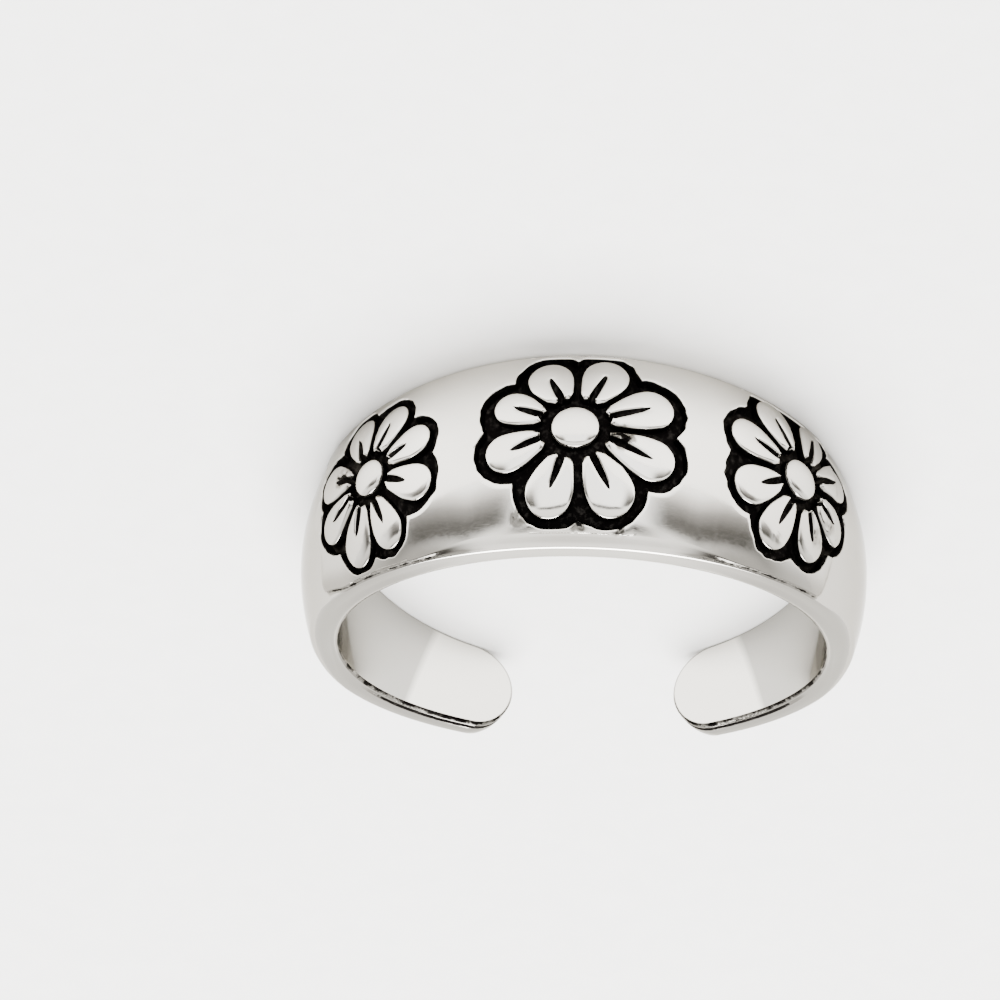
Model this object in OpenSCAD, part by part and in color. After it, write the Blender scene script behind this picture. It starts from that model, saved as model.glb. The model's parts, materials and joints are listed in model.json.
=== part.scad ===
// Open toe ring, cast in one piece: a band that tapers from a broad domed front to two
// round tips, with three daisies raised from sunk, blackened beds on its front panel.
// Millimetres. The ring lies on one flat side, flowers towards -Y, the toe's way up the
// slightly leaning bore, and the origin is on the surface under the middle of its box.

/* [Band] */
// Radius of the opening for the toe
toe_r = 7.7; // [6.5:0.1:10]
// Wall at the front crest, outside the raised panel
front_wall = 1.75; // [1.5:0.05:2.2]
// Wall at the back, where the band would close
back_wall = 0.75; // [0.6:0.05:1.2]
// Radius of the dome across the band
dome_r = 6.4; // [5.5:0.1:9]
// Width over the flat sides at the front crest
front_w = 7.15; // [6.9:0.05:9]
// Width over the flat sides at the back
back_w = 2.4; // [2:0.1:4]
// Gap between the two tips, across the bore's wall
tip_gap = 5.2; // [4.8:0.1:7]
// Turn of the gap's middle away from straight behind
gap_turn = 1.7; // [0:0.1:4]

/* [Panel] */
// How far the panel stands above the plain band
panel_rise = 0.08; // [0.04:0.01:0.15]
// Plain rim left on each side of the panel
panel_rim = 0.36; // [0.2:0.02:0.4]
// Turn from the front to each end of the panel
panel_turn = 65; // [64:1:75]

/* [Daisies] */
// Turn from the middle daisy to the ones beside it
daisy_turn = 46; // [45:0.5:47]
// Petals on each daisy
petal_count = 8; // [6:1:8]
// Middle of the daisy to a petal's round end, measured along the band
reach_along = 2.3; // [2.2:0.02:2.4]
// The same, measured across the band
reach_across = 2.1; // [2:0.02:2.2]
// Radius of a petal's round end
petal_r = 0.7; // [0.5:0.02:0.74]
// Width of a petal at its inner end, both prongs together
root_w = 0.62; // [0.4:0.02:0.7]
// Gap between the bead and the petals
root_gap = 0.3; // [0.15:0.05:0.4]
// How far a petal's pillow rises from its rim to its middle
pillow_rise = 0.13; // [0.06:0.01:0.18]
// Width of the notch where it opens at a petal's inner end
notch_w = 0.24; // [0.1:0.02:0.3]
// Length of the notch
notch_l = 0.7; // [0.5:0.05:0.8]
// Radius of the bead at the flower's heart
bead_r = 0.73; // [0.55:0.01:0.78]
// How far the bead stands above the panel
bead_proud = 0.12; // [0.02:0.01:0.2]
// Width of the groove outside the petals
groove_w = 0.4; // [0.2:0.02:0.44]
// Depth of the sunk bed below the panel
bed_depth = 0.35; // [0.2:0.05:0.45]
// Size of the outer daisies against the middle one
side_size = 0.85; // [0.7:0.01:0.88]

/* [Hidden] */
$fn = 96;
// Overrun of a cutting solid past the face it cuts
over = 1;
// The outer circle is larger than the bore and its centre lies ahead of the bore's
outer_r = toe_r + (front_wall + back_wall) / 2;
ahead = (front_wall - back_wall) / 2;
// Growth of the half width for each millimetre towards the front
taper = (front_w - back_w) / (4 * outer_r);
mid_w = front_w - 2 * taper * (outer_r + ahead);
// Resting on one flat side leans the bore by this angle
lean = atan(taper);
// Turn from the gap's middle to the tips' ends and to the middles of their round ends,
// seen from straight behind, and half the width there
tip_turn = 180 - asin(tip_gap / 2 / toe_r);
tip_half = half_width(toe_r * cos(tip_turn));
round_turn = tip_turn - tip_half / toe_r * 180 / PI;
// Foremost and rearmost points of the ring, which centre it over the origin
front_reach = (outer_r + ahead + panel_rise + bead_proud) * cos(lean);
back_reach = outer_at(tip_turn) * -cos(tip_turn) * cos(lean);
// Each daisy: turn round the band, place across it, size, and how far its bead lies off
// the middle along and across the band
DAISIES = [
    [-daisy_turn, -0.06, side_size, -0.05, -0.2],
    [0, -0.08, 1, 0.2, -0.2],
    [daisy_turn, 0, side_size, 0, -0.05],
];

// Half the band's width at a distance ahead of the bore's axis
function half_width(forward) = mid_w / 2 + taper * forward;
// Radius of the outer crest, from the bore's axis, at a turn from the front
function outer_at(turn) = ahead * cos(turn) + sqrt(outer_r ^ 2 - (ahead * sin(turn)) ^ 2);
// Distance from the outer circle's centre to the panel's surface, across from the crest
function panel_round(across) = outer_r + panel_rise - dome_r + sqrt(dome_r ^ 2 - across ^ 2);
// Height of the panel's surface over the bore's axis, seen square on at a turn
function panel_height(turn, aside, across) =
    ahead * cos(turn) + sqrt(panel_round(across) ^ 2 - (aside + ahead * sin(turn)) ^ 2);
// Outward direction of the panel's surface at the same place
function panel_normal(turn, aside, across) =
    let (
        slope = asin(across / dome_r),
        swing = asin((aside + ahead * sin(turn)) / panel_round(across))
    )
    [sin(swing) * cos(slope), sin(slope), cos(swing) * cos(slope)];
// Radius of a ball whose cap is as wide and as high as asked
function cap_radius(half, rise) = (half ^ 2 + rise ^ 2) / (2 * rise);

// Round body with a domed rim, its crest at radius r
module domed(r, dome) {
    translate([0, -ahead, 0])
        rotate_extrude()
            intersection() {
                translate([r - dome, 0]) circle(r = dome);
                translate([0, -front_w]) square([2 * r, 2 * front_w]);
            }
}

// Wedge between the two flat sides, less a rim on each
module between_sides(rim) {
    reach = outer_r + ahead + over;
    rotate([90, 0, 90])
        linear_extrude(2 * reach, center = true)
            polygon([
                [-reach, half_width(reach) - rim],
                [-reach, rim - half_width(reach)],
                [reach, rim - half_width(-reach)],
                [reach, half_width(-reach) - rim],
            ]);
}

// Sector of the front between the two ends of the panel
module front_sector() {
    reach = 2 * outer_r;
    linear_extrude(2 * front_w, center = true)
        polygon([
            [0, 0],
            [-reach * sin(panel_turn), -reach * cos(panel_turn)],
            [-reach, -reach],
            [reach, -reach],
            [reach * sin(panel_turn), -reach * cos(panel_turn)],
        ]);
}

// Puts its children on the outside of the band: their Z points outwards, X along the band
module facing(turn) {
    rotate([0, 0, turn]) rotate([90, 0, 0]) children();
}

// Rounds one tip: what lies past a half circle as wide as the band is cut away
module tip_cut(side) {
    foot = toe_r / 2;
    reach = tip_half + 0.75 * tip_gap;
    facing(side * round_turn + gap_turn)
        translate([0, 0, foot])
            linear_extrude(outer_r + over - foot)
                difference() {
                    translate([side > 0 ? 0 : -reach, -front_w]) square([reach, 2 * front_w]);
                    circle(r = tip_half);
                }
}

// Middle of a petal's round end, from the middle of the daisy
function petal_end(i) =
    let (way = (i + 0.5) * 360 / petal_count)
    [reach_along * cos(way), reach_across * sin(way)];

// Outline of one petal, pointing along X from the bead, split by the notch at its inner end
module petal_outline(reach) {
    root = bead_r + root_gap;
    difference() {
        union() {
            translate([reach, 0]) circle(r = petal_r);
            polygon([
                [root, -root_w / 2],
                [reach, -petal_r],
                [reach, petal_r],
                [root, root_w / 2],
            ]);
        }
        polygon([
            [root - over, -notch_w / 2 * (1 + over / notch_l)],
            [root + notch_l, 0],
            [root - over, notch_w / 2 * (1 + over / notch_l)],
        ]);
    }
}

// Sunk bed of a daisy: a lobe for each petal, cut down to a floor that follows the dome
module bed(daisy) {
    difference() {
        facing(daisy[0])
            linear_extrude(outer_r + ahead + over)
                translate([0, daisy[1]])
                    scale(daisy[2]) {
                        circle(r = reach_across);
                        for (i = [0 : petal_count - 1])
                            translate(petal_end(i)) circle(r = petal_r + groove_w);
                    }
        domed(outer_r + panel_rise - bed_depth, dome_r - bed_depth);
    }
}

// Petals of a daisy: prisms on the petals' outlines, pillowed by a ball under each
module petals(daisy) {
    turn = daisy[0];
    size = daisy[2];
    heart = [daisy[3], daisy[4]];
    ball_r = size * cap_radius(petal_r, pillow_rise);
    foot = panel_height(turn, 0, 0) - 2 * ball_r;
    for (i = [0 : petal_count - 1]) {
        reach = norm(petal_end(i) - heart);
        way = atan2(petal_end(i).y - heart.y, petal_end(i).x - heart.x);
        middle = (bead_r + root_gap + reach + petal_r) / 2;
        spot = [0, daisy[1]] + size * (heart + middle * [cos(way), sin(way)]);
        top = [spot.x, spot.y, panel_height(turn, spot.x, spot.y)];
        facing(turn)
            intersection() {
                translate([0, daisy[1], foot])
                    linear_extrude(2 * ball_r + over)
                        scale(size) translate(heart) rotate(way) petal_outline(reach);
                translate(top - ball_r * panel_normal(turn, spot.x, spot.y)) sphere(r = ball_r);
            }
    }
}

// Domed bead at a daisy's heart
module bead(daisy) {
    spot = [0, daisy[1]] + daisy[2] * [daisy[3], daisy[4]];
    ball_r = cap_radius(daisy[2] * bead_r, bed_depth + bead_proud);
    top = [spot.x, spot.y, panel_height(daisy[0], spot.x, spot.y)];
    facing(daisy[0])
        translate(top + (bead_proud - ball_r) * panel_normal(daisy[0], spot.x, spot.y))
            sphere(r = ball_r);
}

// Plain band and panel, before the daisies and the bore
module blank() {
    intersection() {
        domed(outer_r, dome_r);
        between_sides(0);
    }
    intersection() {
        domed(outer_r + panel_rise, dome_r);
        between_sides(panel_rim);
        front_sector();
    }
}

// The whole ring, upright on its axis
module ring() {
    difference() {
        union() {
            difference() {
                blank();
                for (daisy = DAISIES) bed(daisy);
            }
            for (daisy = DAISIES) {
                petals(daisy);
                bead(daisy);
            }
        }
        cylinder(r = toe_r, h = 2 * front_w, center = true);
        tip_cut(1);
        tip_cut(-1);
    }
}

module band() color("silver") {
    translate([0, (front_reach - back_reach) / 2, mid_w / 2 * cos(lean)])
        rotate([-lean, 0, 0])
            ring();
}

band();
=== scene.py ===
"""Open sterling silver toe ring with three daisies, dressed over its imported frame."""
import json
import logging
import math
from collections.abc import Callable, Sequence
from dataclasses import dataclass
from enum import Enum

import bmesh
import bpy
from mathutils import Matrix, Vector, noise


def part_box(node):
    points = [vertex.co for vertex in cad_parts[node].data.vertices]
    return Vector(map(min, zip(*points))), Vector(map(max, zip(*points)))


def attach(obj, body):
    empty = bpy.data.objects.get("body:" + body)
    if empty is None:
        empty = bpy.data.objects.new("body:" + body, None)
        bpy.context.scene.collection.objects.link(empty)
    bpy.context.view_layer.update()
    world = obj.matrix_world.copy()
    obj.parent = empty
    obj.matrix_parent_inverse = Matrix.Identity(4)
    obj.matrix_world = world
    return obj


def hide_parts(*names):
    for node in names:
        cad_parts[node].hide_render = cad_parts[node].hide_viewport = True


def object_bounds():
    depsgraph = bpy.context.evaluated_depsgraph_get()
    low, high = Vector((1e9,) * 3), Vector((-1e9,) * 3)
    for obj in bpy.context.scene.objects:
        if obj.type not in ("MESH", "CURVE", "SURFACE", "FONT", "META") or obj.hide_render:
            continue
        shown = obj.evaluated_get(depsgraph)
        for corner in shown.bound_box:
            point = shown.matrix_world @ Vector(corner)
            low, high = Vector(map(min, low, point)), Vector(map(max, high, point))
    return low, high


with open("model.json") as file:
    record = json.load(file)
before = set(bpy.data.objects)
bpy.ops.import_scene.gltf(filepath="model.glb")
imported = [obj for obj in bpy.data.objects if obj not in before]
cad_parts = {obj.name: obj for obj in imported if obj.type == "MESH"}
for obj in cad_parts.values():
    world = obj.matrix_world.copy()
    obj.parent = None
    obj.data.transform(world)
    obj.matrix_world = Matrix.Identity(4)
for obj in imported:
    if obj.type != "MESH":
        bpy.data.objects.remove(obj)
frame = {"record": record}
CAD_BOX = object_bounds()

LOG = logging.getLogger("toe_ring")
# A millimetre in the scene's metres
MM = 0.001


def ease(value: float) -> float:
    """Gives a soft step."""
    value = min(1.0, max(0.0, value))
    return value * value * (3.0 - 2.0 * value)


def polar(turn: float, reach: float) -> Vector:
    """Turns a direction and a distance into a flat point."""
    angle = math.radians(turn)
    return Vector((reach * math.cos(angle), reach * math.sin(angle)))


def hand_wobble(spot: Vector, scale: float, seed: float) -> float:
    """Gives the small unevenness of hand-cut work."""
    return noise.noise(Vector((spot.x * scale, spot.y * scale, seed)))


@dataclass(frozen=True)
class Zone:
    """A stretch on each side of the band over which a size changes.

    Attributes:
        start: Distance along the band from the front to its start.
        length: Its length, below nothing where the change grows towards the front.
    """

    start: float
    length: float

    def passed(self, along: float) -> float:
        """Gives how much of the change is made at a place along the band, from 0 to 1."""
        return ease((abs(along) - self.start) / self.length)


class Side(Enum):
    """The two sides of the band, seen with the flowers in front."""

    LEFT = -1
    RIGHT = 1


class Coat(Enum):
    """How far the blackening covers a vertex, low values also carrying painted shade along the crease and
    edges, or less than nothing on the bore, which takes painted shade and a painted reflection.
    """

    SHADED_BORE = -0.5
    BARE = 0.0
    BLACK = 1.0


@dataclass(frozen=True)
class Petal:
    """One petal and the lobe of the bed round it, measured from the bead.

    Attributes:
        way: Direction of the petal in degrees, from the right, anticlockwise.
        reach: Distance to the petal's outer end.
        half: Half its greatest width.
        notch: Distance to the point of its notch.
        lobe: Distance to the outer end of its lobe.
        cusp_way: Direction of the cusp after the lobe.
        cusp: Distance to that cusp.
    """

    way: float
    reach: float
    half: float
    notch: float
    lobe: float
    cusp_way: float
    cusp: float


@dataclass(frozen=True)
class Flaw:
    """A small casting flaw on the relief.

    Attributes:
        way: Direction from the bead in degrees.
        reach: Distance from the bead.
        radius: Size of the flawed spot.
        rise: Height of its lumps, or depth where negative.
        stain: How much blackening it holds, or how much is rubbed off the black where negative.
    """

    way: float
    reach: float
    radius: float
    rise: float
    stain: float


@dataclass(frozen=True)
class DaisySizes:
    """Sizes of one daisy in millimetres.

    Attributes:
        along: Place of its bead round the band, at the reference radius.
        across: Place of its bead across the band.
        bead_r: Radius of the bead.
        root_r: Distance from its middle to the petals' inner ends.
        root_half: Half the width of a petal there.
        columns: First and last place round the band of its block of mesh.
        petals: Its petals, anticlockwise.
        flaws: Its casting flaws.
    """

    along: float
    across: float
    bead_r: float
    root_r: float
    root_half: float
    columns: tuple[float, float]
    petals: tuple[Petal, ...]
    flaws: tuple[Flaw, ...]


@dataclass(frozen=True)
class ReliefSizes:
    """Heights and edges of the relief in millimetres, over the plain band.

    Attributes:
        rise: Height of the panel.
        bed: Depth of the beds below the panel.
        rim: Width of the rounded rim round each bed.
        petal_edge: Height of a petal's edge over the panel.
        pillow: Rise of a petal from its edge to its middle.
        bead_top: Height of the bead over the panel.
        notch_half: Half the greatest width of a notch.
        wander: Unevenness of the hand-cut outline.
    """

    rise: float = 0.08
    bed: float = 0.34
    rim: float = 0.035
    petal_edge: float = -0.045
    pillow: float = 0.06
    bead_top: float = 0.11
    notch_half: float = 0.14
    wander: float = 0.05


# The columns of each petal are way, reach, half, notch, lobe, cusp_way and cusp,
# and those of each flaw way, reach, radius, rise and stain.
MIDDLE_DAISY = DaisySizes(
    along=0.17,
    across=-0.33,
    bead_r=0.77,
    root_r=1.06,
    root_half=0.36,
    columns=(-3.62, 3.5),
    petals=(
        Petal(21.7, 2.92, 0.66, 2.13, 3.26, 44.3, 2.67),
        Petal(70.4, 3.12, 0.75, 2.21, 3.42, 93.2, 3.05),
        Petal(118.0, 3.22, 0.77, 2.35, 3.54, 138.8, 3.1),
        Petal(157.7, 3.3, 0.7, 2.58, 3.67, 178.0, 3.11),
        Petal(200.3, 3.21, 0.73, 2.45, 3.58, 223.8, 2.84),
        Petal(245.5, 2.98, 0.74, 2.38, 3.22, 269.6, 2.73),
        Petal(294.0, 2.8, 0.73, 2.12, 3.08, 317.8, 2.64),
        Petal(337.6, 2.71, 0.61, 2.05, 3.1, 360.9, 2.82),
    ),
    flaws=(
        Flaw(166.0, 1.42, 0.6, 0.13, 1.5),
        Flaw(140.0, 1.8, 0.55, 0.05, -0.6),
        Flaw(84.0, 3.0, 0.3, 0.04, -0.5),
        Flaw(116.0, 3.46, 0.46, -0.012, 0.8),
        Flaw(93.0, 3.12, 0.4, -0.012, 0.9),
        Flaw(59.0, 3.4, 0.46, -0.012, 0.8),
    ),
)
RIGHT_DAISY = DaisySizes(
    along=7.35,
    across=-0.04,
    bead_r=0.64,
    root_r=0.88,
    root_half=0.31,
    columns=(4.3, 10.38),
    petals=(
        Petal(23.0, 2.76, 0.6, 2.01, 2.97, 47.0, 2.58),
        Petal(67.7, 2.82, 0.64, 1.89, 3.0, 89.0, 2.62),
        Petal(108.5, 2.69, 0.6, 1.84, 2.91, 130.5, 2.4),
        Petal(156.7, 2.74, 0.6, 1.79, 3.01, 179.0, 2.64),
        Petal(199.5, 2.58, 0.58, 1.74, 2.87, 221.0, 2.36),
        Petal(247.0, 2.59, 0.63, 1.87, 2.82, 274.0, 2.46),
        Petal(293.6, 2.75, 0.62, 1.81, 2.98, 316.5, 2.3),
        Petal(342.0, 2.84, 0.63, 1.84, 3.0, 361.0, 2.63),
    ),
    flaws=(
        Flaw(337.0, 1.5, 0.46, -0.1, 1.8),
        Flaw(86.0, 2.1, 0.45, 0.05, -0.5),
        Flaw(40.0, 2.0, 0.4, 0.03, -0.4),
    ),
)
LEFT_DAISY = DaisySizes(
    along=-7.64,
    across=-0.39,
    bead_r=0.71,
    root_r=0.98,
    root_half=0.32,
    columns=(-10.9, -4.42),
    petals=(
        Petal(26.0, 2.92, 0.65, 1.97, 3.24, 44.4, 2.84),
        Petal(65.7, 2.92, 0.65, 2.11, 3.19, 89.0, 2.67),
        Petal(111.5, 2.64, 0.62, 2.03, 2.93, 132.5, 2.53),
        Petal(155.6, 2.68, 0.62, 1.94, 2.91, 178.3, 2.5),
        Petal(203.0, 3.1, 0.62, 2.15, 3.3, 224.0, 2.74),
        Petal(242.0, 2.85, 0.6, 2.3, 3.05, 270.0, 2.52),
        Petal(294.5, 2.86, 0.72, 2.18, 3.1, 317.3, 2.82),
        Petal(341.6, 2.92, 0.64, 2.1, 3.2, 362.3, 2.92),
    ),
    flaws=(
        Flaw(118.0, 1.9, 0.5, 0.05, 0.55),
        Flaw(146.0, 1.8, 0.42, 0.05, 0.5),
        Flaw(72.0, 2.5, 0.3, 0.03, 0.3),
        Flaw(318.0, 2.2, 0.5, 0.04, -0.5),
    ),
)


@dataclass(frozen=True)
class BandShape:
    """The plain band: an outer circle ahead of the bore's, domed and tapered.

    Lengths are in millimetres. A flat point is (along, across, height): along the band at
    the reference radius, across it towards its upper side, and height over the bore.

    Attributes:
        toe_r: Radius of the bore.
        outer_r: Radius of the outer circle.
        mid_w: Width over the flat sides at the bore's axis.
        taper: Growth of the half width for each millimetre towards the front.
        centre: Middle of the bore in the scene, in metres.
        lean: Lean of the bore's axis, in radians.
        ahead: How far the outer circle's centre lies ahead of the bore's.
        dome_r: Radius of the dome across the band.
        tip_gap: Gap between the tips.
        gap_turn: Turn of the gap's middle, in degrees.
        tip_inset: How far the tips stay inside the frame's own.
        reference_r: Radius at which lengths along the band are true.
    """

    toe_r: float
    outer_r: float
    mid_w: float
    taper: float
    centre: Vector
    lean: float
    ahead: float = 0.5
    dome_r: float = 6.4
    tip_gap: float = 5.2
    gap_turn: float = 1.7
    tip_inset: float = 0.05
    reference_r: float = 9.2

    @classmethod
    def from_frame(cls) -> "BandShape":
        """Reads the band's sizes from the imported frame.

        Returns:
            The shape, as wide and as far leant as the frame's bore and box say.
        """
        bore = next(m for m in frame["record"]["mounts"] if m["kind"] == "bore")
        axis = Vector(bore["axis"]).normalized()
        centre = Vector(bore["pos_m"])
        low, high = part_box("band")
        return cls(
            toe_r=bore["dims"]["r_mm"],
            outer_r=(high[0] - low[0]) / 2 / MM,
            mid_w=2 * centre.z / MM / axis.z,
            taper=axis.y / axis.z,
            centre=centre,
            lean=math.atan2(axis.y, axis.z),
        )

    def half_width(self, turn: float, radius: float) -> float:
        """Gives half the width between the flat sides."""
        return self.mid_w / 2 + self.taper * radius * math.cos(turn)

    def outer_radius(self, turn: float, across: float) -> float:
        """Gives the plain band's outer radius."""
        round_r = self.outer_r - self.dome_r + math.sqrt(self.dome_r**2 - across**2)
        return self.ahead * math.cos(turn) + math.sqrt(round_r**2 - (self.ahead * math.sin(turn)) ** 2)

    def edge(self, turn: float) -> float:
        """Gives half the width where the dome meets a flat side.

        Args:
            turn: Turn from the front, in radians.

        Returns:
            The half width there.
        """
        half = self.half_width(turn, self.outer_r)
        for _ in range(3):
            half = self.half_width(turn, self.outer_radius(turn, half))
        return half

    def tip_turn(self, side: Side) -> float:
        """Gives the turn of the middle of a tip's round end.

        Args:
            side: Which tip.

        Returns:
            The turn from the front, in radians, without its sign.
        """
        end = math.pi - math.asin(self.tip_gap / 2 / self.toe_r)
        half = self.half_width(end, self.toe_r)
        return end - (half + self.tip_inset) / self.toe_r + side.value * math.radians(self.gap_turn)

    def tip_along(self, side: Side) -> float:
        """Gives the flat place of the middle of a tip's round end."""
        return self.tip_turn(side) * self.reference_r

    def turn_at(self, along: float, radius: float) -> float:
        """Turns a flat place along the band into a turn.

        Args:
            along: Flat place along the band.
            radius: Distance from the bore's axis, for places on the round ends.

        Returns:
            The turn from the front, in radians.
        """
        side = Side.RIGHT if along > 0 else Side.LEFT
        past = abs(along) - self.tip_along(side)
        if past <= 0:
            return along / self.reference_r
        return side.value * (self.tip_turn(side) + math.asin(past / radius))

    def on_top(self, along: float, across: float, lift: float = 0.0) -> Vector:
        """Gives the flat point at a height over the plain dome.

        Args:
            along: Flat place along the band.
            across: Place across it.
            lift: Height over the dome, square to it.

        Returns:
            The flat point.
        """
        radius = self.outer_radius(self.turn_at(along, self.outer_r), across)
        slope = across / self.dome_r
        return Vector((along, across + lift * slope, radius - self.toe_r + lift * math.sqrt(1 - slope**2)))

    def bend(self, flat: Vector) -> Vector:
        """Bends a flat point round the bore and leans it onto its flat side.

        Args:
            flat: The flat point.

        Returns:
            The point in the scene, in metres.
        """
        radius = self.toe_r + flat.z
        turn = self.turn_at(flat.x, radius)
        point = Vector((radius * math.sin(turn), -radius * math.cos(turn), flat.y)) * MM
        return self.centre + Matrix.Rotation(-self.lean, 3, "X") @ point


@dataclass(frozen=True)
class PanelShape:
    """The raised panel on the front of the band, in millimetres.

    Attributes:
        band: The band it lies on.
        rise: Its height.
        crease: Least width of the step at its edge.
        melt: How much wider that step is on the upper side at the front.
        near_rim: Least width of the plain rim on the upper side.
        near_corner: Growth of that rim at the panel's right end.
        far_rim: Least width of the plain rim on the lower side.
        back_rim: Growth of both rims behind the panel.
        ends: Place of the panel's left and right end.
        bulge: How far each end bulges out towards its corners.
        corner: Rounding of those corners.
        firm: Length over which the panel ends at its corners.
        soft: How much longer that is at the band's middle.
        support: Width of the row of mesh that keeps the crease crisp.
        behind: Where the band behind the panel starts.
        melted: Where the step widens towards the front.
        lined: Where the blackening and painted shade along the crease start.
    """

    band: BandShape
    rise: float
    crease: float = 0.04
    melt: float = 0.25
    near_rim: float = 0.1
    near_corner: float = 0.2
    far_rim: float = 0.1
    back_rim: float = 0.29
    ends: tuple[float, float] = (-9.65, 10.3)
    bulge: tuple[float, float] = (0.0, 0.45)
    corner: float = 0.16
    firm: float = 0.09
    soft: float = 1.1
    support: float = 0.03
    behind: Zone = Zone(9.9, 3.0)
    melted: Zone = Zone(6.0, -2.8)
    lined: Zone = Zone(2.6, 3.0)

    def rim(self, along: float, across: float) -> float:
        """Gives the width of the plain rim beside the panel.

        Args:
            along: Flat place along the band.
            across: Place across it, of which only the sign counts.

        Returns:
            The rim's width.
        """
        back = self.back_rim * self.behind.passed(along)
        if across < 0:
            return self.far_rim + back
        corner = self.near_corner * ease((along - 9.2) / 1.4)
        return self.near_rim + max(corner, back)

    def step(self, along: float, across: float) -> float:
        """Gives the width of the step at the panel's edge."""
        return self.crease + self.melt * self.melted.passed(along) * float(across > 0)

    def top(self, along: float, across: float) -> float:
        """Gives half the width of the panel's top on one side."""
        edge = self.band.edge(self.band.turn_at(along, self.band.outer_r))
        return edge - self.rim(along, across) - self.step(along, across)

    def lift(self, along: float, across: float) -> float:
        """Gives the height of the panel's surface over the plain dome.

        Args:
            along: Flat place along the band.
            across: Place across it.

        Returns:
            The height: the full rise on the panel, none past its edges.
        """
        top = self.top(along, across)
        step = self.step(along, across)
        beside = min(1.0, max(0.0, (top + step - abs(across)) / step))
        share = min(1.0, abs(across) / max(top, 0.1))
        fade = self.firm + self.soft * ease(1 - (share - 0.12) / 0.25)
        past = ease((self.end(along, across) - abs(along)) / fade + 0.5)
        return self.rise * beside * past

    def end(self, along: float, across: float) -> float:
        """Gives the place of the panel's end, which bulges out towards its corners.

        Args:
            along: Flat place along the band, of which only the sign counts in choosing the end.
            across: Place across it.

        Returns:
            The distance along the band, without its sign.
        """
        top = self.top(along, across)
        share = min(1.0, abs(across) / max(top, 0.1))
        corner = self.corner * ease(1 - (top - abs(across)) / 0.2)
        end = self.ends[1] if along > 0 else -self.ends[0]
        return end + self.bulge[int(along > 0)] * ease((share - 0.55) / 0.4) - corner

    def stain(self, along: float, across: float) -> float:
        """Gives the blackening left along the upper crease and round its corners, and the painted shade
        beside it.

        A dark line lies in the crease and along the panel's ends: partly blackening, partly painted shade
        that also hides a glint. A film of painted shade lies beside it.

        Args:
            along: Flat place along the band.
            across: Place across it.

        Returns:
            The blackening and painted shade, from 0 to 1.
        """
        if across < 0:
            return 0.0
        foot = across - self.top(along, across) - self.step(along, across)
        past = abs(along) - self.end(along, across)
        out = self.lined.passed(along) * ease(0.5 - past / 0.3)
        # The line is partly blackening in the crease and partly painted shade over a glint; the films are
        # painted shade.
        line = out * max(0.0, 1 - abs(foot) / 0.11)
        shade_film = out * ease(1 + foot) * float(foot < 0)
        low = ease((across - 1.0) / 1.4) * ease(0.5 - foot / 0.1)
        end_line = low * max(0.0, 1 - abs(past - 0.02) / 0.1)
        end_shade_film = low * ease(1 + past / 0.7) * float(past < 0)
        wobble = 0.85 + 0.3 * hand_wobble(Vector((along, across)), 2.9, 27.0)
        return max(max(0.7 * line, 0.55 * end_line) * wobble, 0.24 * shade_film, 0.12 * end_shade_film)


@dataclass(frozen=True)
class SideShape:
    """How the band's sides are rounded and worn, in millimetres.

    Attributes:
        front: Width of the outer edge's rounding at the front, across the band.
        back: The same from the side of the ring to the tips.
        crisp: How far that rounding reaches down the side at the front.
        soft: The same beside the outer daisies and behind them.
        tip: Size of that rounding at the tips, both ways.
        inner: Radius of the bore's edge.
        swell: How far the upper side swells out beside the outer daisies.
        flare: How far the upper side's outer edge stands out near the tips.
        behind: Where the rounding widens, behind the panel.
        softened: Where it starts to reach further down.
        near_tips: Where it takes the tips' size.
        swollen: Where the upper side starts to swell.
        flared_from: Where its outer edge starts to stand out.
    """

    front: float = 0.05
    back: float = 0.28
    crisp: float = 0.1
    soft: float = 0.47
    tip: float = 0.1
    inner: float = 0.06
    swell: float = 0.05
    flare: float = 0.22
    behind: Zone = Zone(9.9, 3.0)
    softened: Zone = Zone(3.0, 4.0)
    near_tips: Zone = Zone(15.0, 4.0)
    swollen: Zone = Zone(3.5, 3.0)
    flared_from: Zone = Zone(11.0, 6.0)

    def across(self, along: float) -> float:
        """Gives the width of the outer edge's rounding."""
        wide = self.front + (self.back - self.front) * self.behind.passed(along)
        return wide + (self.tip - wide) * self.near_tips.passed(along)

    def down(self, along: float) -> float:
        """Gives how far the outer edge's rounding reaches down the side."""
        deep = self.crisp + (self.soft - self.crisp) * self.softened.passed(along)
        return deep + (self.tip - deep) * self.near_tips.passed(along)

    def bulge(self, along: float, angle: float) -> float:
        """Gives how far the side swells out at its middle."""
        return self.swell * self.swollen.passed(along) * max(0.0, math.sin(angle))

    def flared(self, flat: Vector, edge: float, wall: float) -> Vector:
        """Moves a flat point out with the upper side's flare."""
        near = max(0.0, flat.y / edge) ** 2 * min(1.0, max(0.0, flat.z / wall))
        return flat + Vector((0.0, self.flare * self.flared_from.passed(flat.x) * near, 0.0))


@dataclass(frozen=True)
class SideStep:
    """One ring of mesh on the band's side.

    Attributes:
        outer: Angle reached in the outer edge's rounding.
        face: Share of the flat side passed.
        inner: Angle reached in the bore edge's rounding.
        past: How far into the bore the ring lies.
        stain: Blackening in it on the upper side, partly painted shade over the edge's highlight.
        stained: Where along the band that blackening and painted shade start.
        coat: Finish elsewhere, which on the bore is painted shade.
    """

    outer: float = math.pi / 2
    face: float = 1.0
    inner: float = 0.0
    past: float = 0.0
    stain: float = 0.0
    stained: Zone = Zone(0.0, 2.5)
    coat: Coat = Coat.BARE


Loop = list[bmesh.types.BMVert]


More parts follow.
